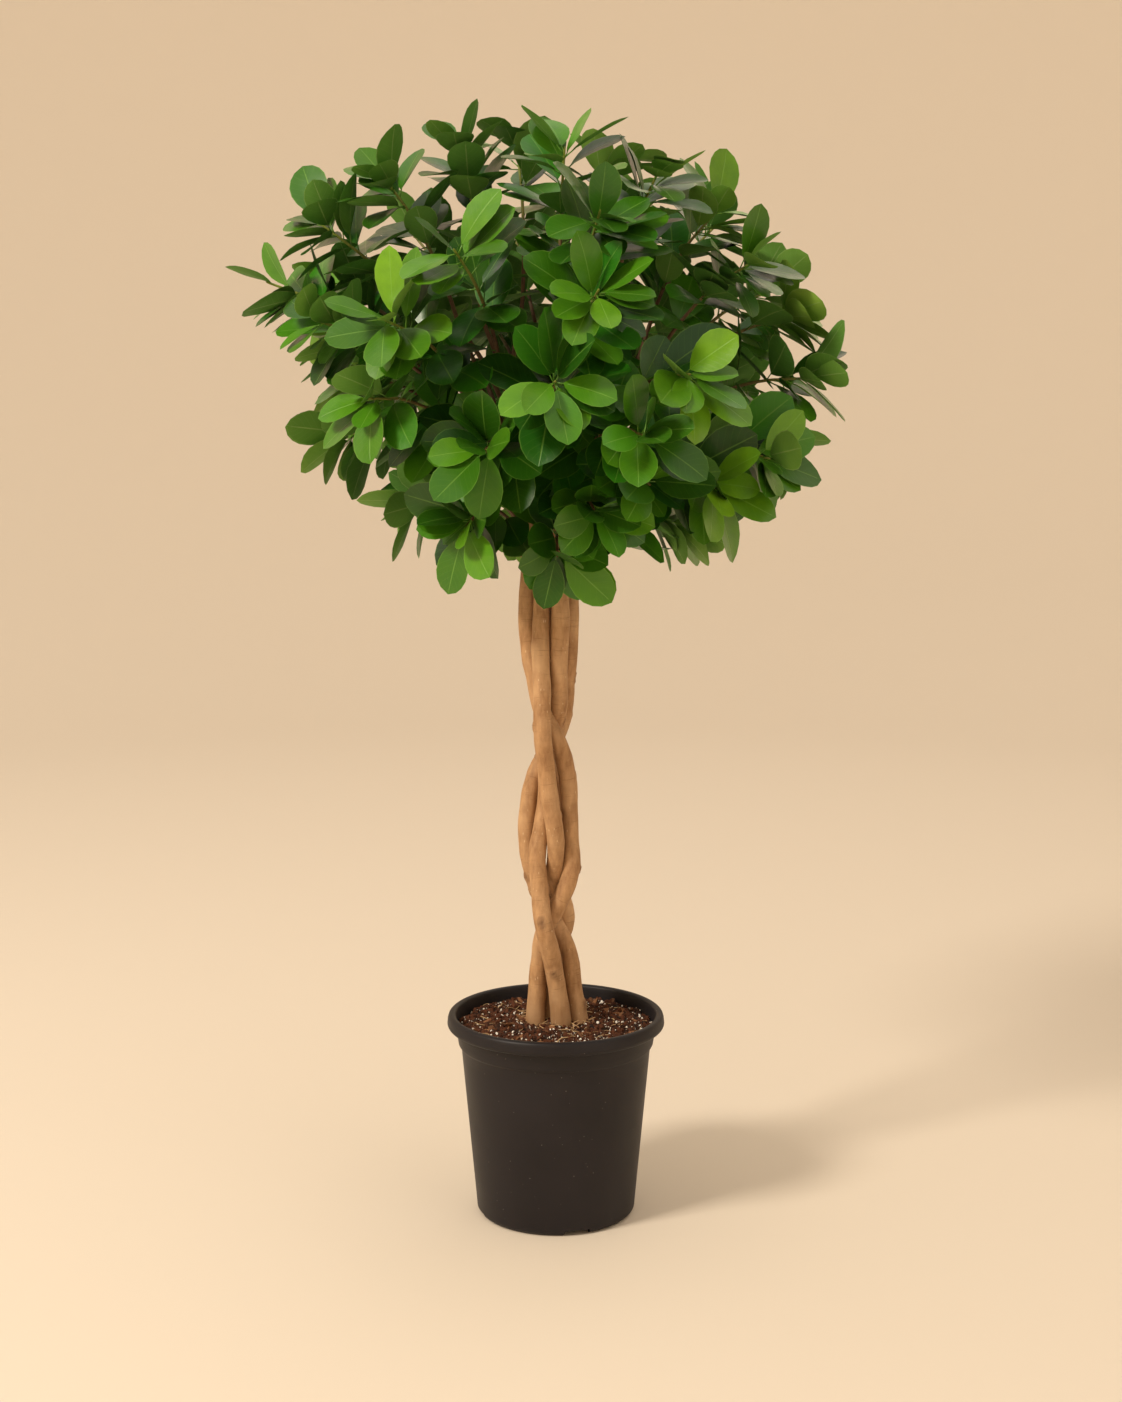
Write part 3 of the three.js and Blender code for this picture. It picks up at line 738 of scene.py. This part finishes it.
def makeStem(node, order):
    random = np.random.default_rng(stems["seed"] + order)
    route = resampled(smoothed(sliceCentres(node), 6), stems["stations"])
    swell = order * 13.7  # sets each stem apart from the others in the noise
    radii = []
    for point in route:
        radius = stemRadius(node, point.z) * stems["fullness"]
        radius *= 1 + stems["swelling"] * noise.noise(Vector((point.z * 28, swell, 0)))
        radius *= 1 + stems["flare"] * max(0, 1 - abs(point.z - stems["soilLine"]) / stems["flareHeight"])
        radii.append(radius)
    steps = [(b - a).length for a, b in zip(route, route[1:])]
    length = sum(steps)
    scars = []
    for _ in range(stems["scars"]):
        at = random.uniform(*stems["scarPlace"]) * length
        scars.append((at, random.uniform(0, 2 * math.pi), random.uniform(*stems["scarSize"])))

    def relief(place, run, angle, radius):
        stretched = Vector((place.x, place.y, place.z * 0.3))
        ridge = noise.fractal(stretched * 130 + Vector((swell, 0, 0)), 0.9, 2.0, 3) * stems["ridge"]
        lumps = noise.noise(place * 45 + Vector((0, swell, 0))) * stems["lump"]
        marks = sum(scarLift(scar, run, angle, radius) for scar in scars)
        return (ridge + lumps + marks) * min(1, radius / 0.006)  # less on the thin young wood

    mesh = sweepRod(node + "_bark", route, radii, stems["sides"], relief)
    shades = []
    run = 0.0
    for i, step in enumerate([0.0] + steps):
        run += step
        for k in range(stems["sides"]):
            angle = 2 * math.pi * k / stems["sides"]
            shades.append(max(scarShade(scar, run, angle, radii[i]) for scar in scars))
    shades += [0.0, 0.0]  # the middles of the two ends
    mesh.attributes.new("scar", "FLOAT", "POINT").data.foreach_set("value", shades)
    piece = newPiece(node + "_bark", mesh, bark)
    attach(piece, "root")
    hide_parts(node)
    return route


bark = ficusBark()
stemRoutes = {node: makeStem(node, i) for i, node in enumerate(stemNames)}
print("stems made")

leaf = {"stations": [0.0, 0.08, 0.2, 0.35, 0.51, 0.67, 0.81, 0.92, 1.0], "across": [-1, -0.55, 0, 0.55, 1],
        "stalk": 0.14, "thickness": 0.008, "seed": 17, "sideVeins": 9.0, "heart": Vector((-0.008, 0, 0.80)),
        "width": 0.95, "sizeSpread": 0.04, "freshReach": 0.045, "freshLeast": 0.15, "freshMore": 0.95,
        "freshStray": 0.16,
        "upper": {"ripe": ("#123806", "#2f7a10"), "fresh": ("#559413", "#9ccb22"), "blotchTint": "#24611a",
                  "veinTint": "#86b64e"},
        "lower": {"ripe": ("#40702e", "#5d8c3f"), "fresh": ("#7ba93c", "#a8cc55"), "blotchTint": "#5f9440",
                  "veinTint": "#b3c983"}}
leafShapes = [  # how each leaf form is folded, curled back, twisted and waved
    {"fold": 0.10, "curl": 0.16, "twist": 0.10, "wave": 0.010},
    {"fold": 0.16, "curl": 0.30, "twist": -0.14, "wave": 0.014},
    {"fold": 0.06, "curl": 0.08, "twist": 0.05, "wave": 0.018},
    {"fold": 0.20, "curl": 0.22, "twist": 0.20, "wave": 0.008},
    {"fold": 0.12, "curl": 0.42, "twist": -0.06, "wave": 0.012},
]


def bladeWidth(t):  # half the blade's width along it, wedge-shaped at the stalk and blunt at the tip
    wedge, blunt = 0.88, 0.66
    widest = wedge / (wedge + blunt)
    return 0.5 * (t / widest) ** wedge * ((1 - t) / (1 - widest)) ** blunt


# A leaf one unit long and one unit wide, lying along +Y with its face up. Its two skins share the
# points of the rim, the base and the tip, and a three-sided stalk runs into the base.
def leafForm(shape, order):
    stalk, stations, across = leaf["stalk"], leaf["stations"], leaf["across"]
    vertices, faces, coordinates, under = [], [], [], []

    def bladePoint(t, v, below):
        width = bladeWidth(t)
        x = v * width
        z = shape["fold"] * abs(x) * (1.2 - 0.5 * t)
        z += shape["wave"] * math.sin(9 * t + order) * abs(v) * 2 * width
        z -= shape["curl"] * t * t * 0.55
        z += shape["twist"] * x * t
        y = stalk + (1 - stalk) * (t - 0.10 * shape["curl"] * t ** 3)
        return (x, y, z * 0.6 + 0.02 - below)

    grid = {}  # which point stands at each place of each skin
    last = len(stations) - 1
    for below in (False, True):
        for i, t in enumerate(stations):
            for k, v in enumerate(across):
                end = i in (0, last)
                rim = k in (0, 4) or end
                if end:
                    k, v = 2, 0
                if rim and (False, i, k) in grid:
                    grid[(below, i, k)] = grid[(False, i, k)]
                    continue
                if (below, i, k) not in grid:
                    grid[(below, i, k)] = len(vertices)
                    vertices.append(bladePoint(t, v, leaf["thickness"] if below else 0))
    ends = {0: 2, last: 2}  # the base and the tip are one point each
    for below in (False, True):
        for i in range(last):
            for k in range(4):
                keys = [(i, k), (i, k + 1), (i + 1, k + 1), (i + 1, k)]
                corners = [grid[(below, a, ends.get(a, b))] for a, b in keys]
                spots = [(stations[a], across[b]) for a, b in keys]
                kept = [j for j in range(4) if corners[j] != corners[j - 1]]
                if below:
                    kept = kept[::-1]
                faces.append([corners[j] for j in kept])
                coordinates += [spots[j] for j in kept]
                under.append(below)
    bladeFaces = len(faces)
    base = len(vertices)
    for y, z, r in ((-0.01, -0.004, 0.016), (stalk * 0.5, 0.006, 0.012), (stalk + 0.05, 0.018, 0.010)):
        for k in range(3):
            a = 2 * math.pi * k / 3 + math.pi / 2
            vertices.append((r * math.cos(a) * 1.6, y, z - 0.004 + r * math.sin(a)))
    for i in range(2):
        for k in range(3):
            a, b = base + 3 * i + k, base + 3 * i + (k + 1) % 3
            faces.append((b, a, a + 3, b + 3))
    faces += [(base, base + 1, base + 2), (base + 8, base + 7, base + 6)]
    stalkFaces = faces[bladeFaces:]
    coordinates += [(0.5, 0.0)] * sum(len(face) for face in stalkFaces)
    under += [False] * len(stalkFaces)
    mesh = fromPydata("leafForm", vertices, faces)
    storeUV(mesh, "leafUV", coordinates)
    mesh.attributes.new("underside", "BOOLEAN", "FACE").data.foreach_set("value", under)
    users = {}  # the faces on each edge: the rim is where an upper and a lower one meet
    for polygon in mesh.polygons:
        for key in polygon.edge_keys:
            users.setdefault(key, []).append(polygon.index)
    rims = []
    for edge in mesh.edges:
        meeting = users[tuple(sorted(edge.vertices))]
        rims.append(len({under[face] for face in meeting}) > 1 and max(meeting) < bladeFaces)
    mesh.attributes.new("sharp_edge", "BOOLEAN", "EDGE").data.foreach_set("value", rims)
    return mesh


# Ficus leaf: a waxy skin that is deep green and glossy above and paler and dull below, yellow-green
# when fresh, with a thin pale midrib, faint side veins and a pale edge.
def leafSkin(name, upper, ripe, fresh, blotchTint, veinTint):
    level, coat = (0.34, 0.28) if upper else (0.15, 0.0)
    smoothest, roughest = (0.28, 0.42) if upper else (0.5, 0.62)
    material, tree, shader = newMaterial(
        name, IOR=1.45, Specular_IOR_Level=level, Coat_Weight=coat, Coat_Roughness=0.2)
    place = addNode(tree, "ShaderNodeTexCoord", {}, "Object")
    spot = addNode(tree, "ShaderNodeUVMap", {}, uv_map="leafUV")
    run = addNode(tree, "ShaderNodeSeparateXYZ", {0: spot}, "X")
    sideways = addNode(tree, "ShaderNodeSeparateXYZ", {0: spot}, "Y")
    across = addNode(tree, "ShaderNodeMath", {0: sideways}, operation="ABSOLUTE")
    tone = addNode(tree, "ShaderNodeAttribute", {}, "Fac", attribute_name="leafTone")
    age = addNode(tree, "ShaderNodeAttribute", {}, "Fac", attribute_name="leafAge")
    new, old = (
        addNode(tree, "ShaderNodeMix", {0: tone, 6: linear(dark), 7: linear(pale)}, 2, data_type="RGBA")
        for dark, pale in (fresh, ripe)
    )
    colour = addNode(tree, "ShaderNodeMix", {0: age, 6: new, 7: old}, 2, data_type="RGBA")
    patches = addNode(tree, "ShaderNodeTexNoise", {"Vector": place, "Scale": 1000 / 14, "Detail": 4})
    blotch = addNode(tree, "ShaderNodeMapRange", {
        "Value": patches, "From Min": 0.35, "From Max": 0.75, "To Max": 0.3})
    lean = addNode(tree, "ShaderNodeMath", {0: across, 1: -2.2}, operation="MULTIPLY")
    slant = addNode(tree, "ShaderNodeMath", {0: run, 1: leaf["sideVeins"], 2: lean}, operation="MULTIPLY_ADD")
    rib = addNode(tree, "ShaderNodeMath", {0: slant, 1: 0.5}, operation="PINGPONG")
    sideVein = addNode(tree, "ShaderNodeMapRange", {
        "Value": rib, "From Min": 0.07, "From Max": 0.0, "To Max": 0.22})
    midrib = addNode(tree, "ShaderNodeMapRange", {"Value": across, "From Min": 0.05, "From Max": 0.015})
    vein = addNode(tree, "ShaderNodeMath", {0: midrib, 1: sideVein}, operation="MAXIMUM")
    paleVein = addNode(tree, "ShaderNodeMath", {0: vein, 1: 0.32}, operation="MULTIPLY")
    edge = addNode(tree, "ShaderNodeMapRange", {
        "Value": across, "From Min": 0.94, "From Max": 1.0, "To Max": 0.4})
    for share, tint in ((blotch, blotchTint), (paleVein, veinTint), (edge, veinTint)):
        colour = addNode(tree, "ShaderNodeMix", {0: share, 6: colour, 7: linear(tint)}, 2, data_type="RGBA")
    tree.links.new(colour, shader.inputs["Base Color"])
    wax = addNode(tree, "ShaderNodeTexNoise", {"Vector": place, "Scale": 1000 / 8, "Detail": 3})
    gloss = addNode(tree, "ShaderNodeMapRange", {
        "Value": wax, "From Min": 0.3, "From Max": 0.7, "To Min": smoothest, "To Max": roughest})
    tree.links.new(gloss, shader.inputs["Roughness"])
    groove = addNode(tree, "ShaderNodeMath", {0: vein, 1: -0.8 if upper else 0.8}, operation="MULTIPLY")
    relief = addNode(tree, "ShaderNodeMath", {0: wax, 1: 0.3, 2: groove}, operation="MULTIPLY_ADD")
    bump = addNode(tree, "ShaderNodeBump", {"Strength": 0.35, "Distance": 0.0005, "Height": relief})
    tree.links.new(bump, shader.inputs["Normal"])
    return material


twig = {"footRadius": 0.0024, "tipRadius": 0.0010, "lastRadii": [0.0009, 0.0002], "taper": 0.8, "sides": 8,
        "bow": 0.10, "pastLastLeaf": 0.012, "steps": 6, "ripe": ("#54392a", "#80603f"),
        "fresh": ("#6f7d2c", "#93a044"), "freshFrom": 0.16, "freshTo": 0.26}


# Young ficus wood: thin smooth rind, green at the growing end and brown where it has ripened.
def twigRind():
    material, tree, shader = newMaterial("twig_rind", Roughness=0.55, IOR=1.45)
    place = addNode(tree, "ShaderNodeTexCoord", {}, "Object")
    around = addNode(tree, "ShaderNodeUVMap", {}, uv_map="rodUV")
    along = addNode(tree, "ShaderNodeSeparateXYZ", {0: around}, "Y")
    mottle = addNode(tree, "ShaderNodeTexNoise", {"Vector": place, "Scale": 1000 / 4, "Detail": 4})
    ripe, fresh = (
        addNode(tree, "ShaderNodeMix", {0: mottle, 6: linear(dark), 7: linear(pale)}, 2, data_type="RGBA")
        for dark, pale in (twig["ripe"], twig["fresh"])
    )
    share = addNode(tree, "ShaderNodeMapRange", {
        "Value": along, "From Min": twig["freshFrom"], "From Max": twig["freshTo"]})
    colour = addNode(tree, "ShaderNodeMix", {0: share, 6: ripe, 7: fresh}, 2, data_type="RGBA")
    tree.links.new(colour, shader.inputs["Base Color"])
    bump = addNode(tree, "ShaderNodeBump", {"Strength": 0.4, "Distance": 0.0006, "Height": mottle})
    tree.links.new(bump, shader.inputs["Normal"])
    return material


# One tree puts a leaf on every point, turned and sized by the point's own values.
def leafTree():
    tree, given = newTree("leafOnPoints", [
        ("Leaf forms", "Collection"), ("Leaf size", "Float"), ("Size spread", "Float"), ("Seed", "Int"),
        ("Upper face", "Material"), ("Lower face", "Material")])
    turn = addNode(tree, "GeometryNodeInputNamedAttribute", {"Name": "leafTurn"}, data_type="QUATERNION")
    size = addNode(tree, "GeometryNodeInputNamedAttribute", {"Name": "leafSize"}, data_type="FLOAT_VECTOR")
    form = addNode(tree, "GeometryNodeInputNamedAttribute", {"Name": "leafForm"}, data_type="INT")
    forms = addNode(tree, "GeometryNodeCollectionInfo", {
        "Collection": given["Leaf forms"], "Separate Children": True, "Reset Children": True})
    usual, spread = given["Leaf size"], given["Size spread"]
    least = addNode(tree, "ShaderNodeMath", {0: usual, 1: spread}, operation="SUBTRACT")
    most = addNode(tree, "ShaderNodeMath", {0: usual, 1: spread}, operation="ADD")
    vary = addNode(tree, "FunctionNodeRandomValue", {
        2: least, 3: most, "Seed": given["Seed"]}, 1, data_type="FLOAT")
    grown = addNode(tree, "ShaderNodeVectorMath", {0: size, "Scale": vary}, operation="SCALE")
    placed = addNode(tree, "GeometryNodeInstanceOnPoints", {
        "Points": given["Geometry"], "Instance": forms, "Pick Instance": True, "Instance Index": form,
        "Rotation": turn, "Scale": grown})
    real = addNode(tree, "GeometryNodeRealizeInstances", {"Geometry": placed})
    top = addNode(tree, "GeometryNodeSetMaterial", {"Geometry": real, "Material": given["Upper face"]})
    under = addNode(tree, "GeometryNodeInputNamedAttribute", {"Name": "underside"}, data_type="BOOLEAN")
    both = addNode(tree, "GeometryNodeSetMaterial", {
        "Geometry": top, "Selection": under, "Material": given["Lower face"]})
    tree.links.new(both, tree.nodes.new("NodeGroupOutput").inputs[0])
    return tree


# The CAD model's leaf plates, and the limits that tell them from the twig. Their mid points and sides
# are given as shares of the leaf's length.
cadLeaf = {"thickness": 0.0016, "match": 4e-6, "evenSides": 1e-4, "middle": 0.5, "sides": 0.58,
           "length": (0.035, 0.095), "width": (0.018, 0.06)}


# Every leaf plate of a CAD branch has two mid points, one over the other, ringed by its tip and sides.
def readLeaves(node):
    work = mergedCopy(node)
    plates = []
    used = set()
    for a in work.verts:
        around = {e.other_vert(a) for e in a.link_edges}
        reach = {f for n in around for f in (e.other_vert(n) for e in n.link_edges)}
        for b in reach:
            if b.index <= a.index or b.index in used or a.index in used or b in around:
                continue
            if abs((a.co - b.co).length - cadLeaf["thickness"]) > cadLeaf["match"]:
                continue
            middle = (a.co + b.co) / 2
            shared = around & {e.other_vert(b) for e in b.link_edges}
            ring = sorted(shared, key=lambda v: (v.co - middle).length)
            if len(ring) < 3:
                continue
            left, right = (v.co for v in ring[:2])
            if (right - middle).length - (left - middle).length > cadLeaf["evenSides"]:
                continue
            crossing = (left + right) / 2
            tip = max((v.co for v in ring[2:]), key=lambda p: (p - middle).dot(crossing - middle))
            length = (tip - middle).length / (1 - cadLeaf["middle"])
            width = (left - right).length
            shortest, longest = cadLeaf["length"]
            narrowest, widest = cadLeaf["width"]
            if not (shortest < length < longest and narrowest < width < widest):
                continue
            used.update((a.index, b.index))
            along = (tip - crossing).normalized()
            normal = (a.co - b.co).normalized()
            foot = tip - along * length
            outward = (foot - leaf["heart"]).normalized()
            if normal.dot(up * 0.6 + outward * 0.9) < 0:
                normal = -normal
            plates.append({"foot": foot, "along": along, "normal": normal, "length": length, "width": width})
    work.free()
    return plates


branchNames = sorted(n for n in frame["nodes"] if n.startswith("leafy_branch_"))
branchLeaves = {node: readLeaves(node) for node in branchNames}
print("leaf plates read:", sum(len(p) for p in branchLeaves.values()), "on", len(branchNames), "branches")


def branchFoot(node):  # the point of a stem that the branch comes nearest to
    points = np.array([tuple(v.co) for v in frame["nodes"][node].data.vertices])
    best = None
    for route in stemRoutes.values():
        line = np.array([tuple(p) for p in route[::3]])
        gaps = np.linalg.norm(points[:, None, :] - line[None, :, :], axis=2)
        i, j = np.unravel_index(gaps.argmin(), gaps.shape)
        if best is None or gaps[i, j] < best[0]:
            best = (gaps[i, j], Vector(line[j]))
    return best[1]


def branchRoute(node):  # a smooth line from the stem through the feet of the leaves
    start = branchFoot(node)
    feet = sorted((p["foot"] for p in branchLeaves[node]), key=lambda p: (p - start).length)
    first, last = feet[0], feet[-1]
    ahead = (last - feet[-2]).normalized()
    bow = start.lerp(first, 0.5) + up * twig["bow"] * (first - start).length
    route = [start, bow] + feet + [last + ahead * twig["pastLastLeaf"]]
    curve = []
    for i in range(len(route) - 1):
        p0, p1, p2, p3 = route[max(i - 1, 0)], route[i], route[i + 1], route[min(i + 2, len(route) - 1)]
        for t in np.linspace(0, 1, twig["steps"], endpoint=False):
            curve.append(0.5 * ((2 * p1) + (p2 - p0) * t + (2 * p0 - 5 * p1 + 4 * p2 - p3) * t * t
                                + (3 * p1 - p0 - 3 * p2 + p3) * t ** 3))
    curve.append(route[-1])
    return smoothed(curve, 2)


branchRoutes = {node: branchRoute(node) for node in branchNames}


# The leaves added in the gaps of the crown: how many are tried on each branch, and where, how and how
# large they may grow.
filler = {"perBranch": 16, "tries": 9, "place": (0.36, 0.97), "opening": (35, 75), "droop": 0.3, "roll": 0.4,
          "length": 0.070, "lengthShare": (0.72, 1.02), "widthShare": 0.56, "lowest": 0.60, "margin": 0.002}


def plateShape(plate):  # the four corners of a leaf's upper side, from base to tip and back
    foot, along = plate["foot"], plate["along"] * plate["length"]
    half = plate["normal"].cross(plate["along"]) * plate["width"] * 0.5
    base, sides = foot + along * leaf["stalk"], foot + along * cadLeaf["sides"]
    lift = plate["normal"] * cadLeaf["thickness"] / 2
    return [c + lift for c in (base, sides - half, foot + along, sides + half)]


def insideBox(points):
    low, high = cadBox
    margin = filler["margin"]
    return all(low[i] + margin < p[i] < high[i] - margin for p in points for i in range(3))


def chanceLeaf(route, random):  # a leaf somewhere along the twig, turned and sized by chance
    share = random.uniform(*filler["place"])
    i = min(int(share * (len(route) - 1)), len(route) - 2)
    foot = route[i]
    axis = (route[i + 1] - foot).normalized()
    turn = random.uniform(0, 2 * math.pi)
    radial = Quaternion(axis, turn) @ axis.orthogonal().normalized()
    opening = math.radians(random.uniform(*filler["opening"]))
    droop = up * random.uniform(0.0, filler["droop"])
    along = (axis * math.cos(opening) + radial * math.sin(opening) - droop).normalized()
    outward = (foot - leaf["heart"]).normalized()
    roll = radial * random.uniform(-filler["roll"], filler["roll"])
    facing = axis * 0.6 + up * 0.7 + outward * 0.4 + roll
    normal = (facing - along * facing.dot(along)).normalized()
    length = filler["length"] * random.uniform(*filler["lengthShare"])
    width = length * filler["widthShare"]
    return {"foot": foot, "along": along, "normal": normal, "length": length, "width": width}


# More leaves in the gaps between those of the CAD model, wherever one's flat shape crosses no other's.
def fillLeaves():
    random = np.random.default_rng(leaf["seed"])
    vertices, polygons = [], []
    added = 0

    def occupy(shape):
        base = len(vertices)
        vertices.extend(shape)
        polygons.append((base, base + 1, base + 2, base + 3))

    for plates in branchLeaves.values():
        for plate in plates:
            occupy(plateShape(plate))
    for node in branchNames:
        for _ in range(filler["perBranch"]):
            for _ in range(filler["tries"]):
                plate = chanceLeaf(branchRoutes[node], random)
                shape = plateShape(plate)
                if not insideBox(shape) or shape[2].z < filler["lowest"]:
                    continue
                tester = BVHTree.FromPolygons(shape, [(0, 1, 2, 3)])
                if tester.overlap(BVHTree.FromPolygons(vertices, polygons)):
                    continue
                occupy(shape)
                branchLeaves[node].append(plate)
                added += 1
                break
    print("leaves added in the gaps:", added)


fillLeaves()


def leafPoints(node, random):  # a point for each leaf of a branch, with the leaf's own values on it
    plates = branchLeaves[node]
    tip = branchRoutes[node][-1]
    vigour = random.uniform(0, 1)  # how much young growth the branch has
    young = leaf["freshLeast"] + leaf["freshMore"] * vigour ** 3
    turns, sizes, forms, tones, ages = [], [], [], [], []
    for plate in plates:
        across = plate["along"].cross(plate["normal"])
        basis = Matrix((across, plate["along"], plate["normal"])).transposed()
        turns += list(basis.to_quaternion())
        sizes += [plate["width"] * leaf["width"], plate["length"], plate["length"]]
        forms.append(int(random.integers(0, len(leafShapes))))
        tones.append(random.uniform(0, 1))
        nearTip = max(0, 1 - (plate["foot"] - tip).length / leaf["freshReach"])
        ages.append(1 - min(1, nearTip * young + leaf["freshStray"] * random.uniform(0, 1) ** 2))
    mesh = fromPydata(node + "_points", [p["foot"] for p in plates], [])
    for name, kind, field, values in (
        ("leafTurn", "QUATERNION", "value", turns), ("leafSize", "FLOAT_VECTOR", "vector", sizes),
        ("leafForm", "INT", "value", forms), ("leafTone", "FLOAT", "value", tones),
        ("leafAge", "FLOAT", "value", ages)
    ):
        mesh.attributes.new(name, kind, "POINT").data.foreach_set(field, values)
    return mesh


def makeTwig(node, rind):
    name = node + "_twig"
    route = branchRoutes[node]
    last = len(route) - 1
    slimming = twig["tipRadius"] - twig["footRadius"]
    radii = [twig["footRadius"] + slimming * (i / last) ** twig["taper"] for i in range(last + 1)]
    radii[-2:] = twig["lastRadii"]
    wood = newPiece(name, sweepRod(name, route, radii, twig["sides"]), rind)
    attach(wood, "root")
    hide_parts(node)


def makeBranches():
    rind = twigRind()
    leafUpper = leafSkin("ficus_leaf_upper", True, **leaf["upper"])
    leafLower = leafSkin("ficus_leaf_lower", False, **leaf["lower"])
    random = np.random.default_rng(leaf["seed"] + 1)
    shelf = formCollection("leafForm", [leafForm(shape, i) for i, shape in enumerate(leafShapes)])
    tree = leafTree()
    for order, node in enumerate(branchNames):
        name = node + "_leaves"
        piece = newPiece(name, leafPoints(node, random))
        modifier = piece.modifiers.new("leaves", "NODES")
        modifier.node_group = tree
        setInputs(modifier, {"Leaf forms": shelf, "Leaf size": 1.0, "Size spread": leaf["sizeSpread"],
                             "Seed": order, "Upper face": leafUpper, "Lower face": leafLower})
        plainMesh(piece, name)
        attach(piece, "root")
        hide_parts(node)
        makeTwig(node, rind)
    dropCollection(shelf)
    bpy.data.node_groups.remove(tree)


makeBranches()
print("branches made")
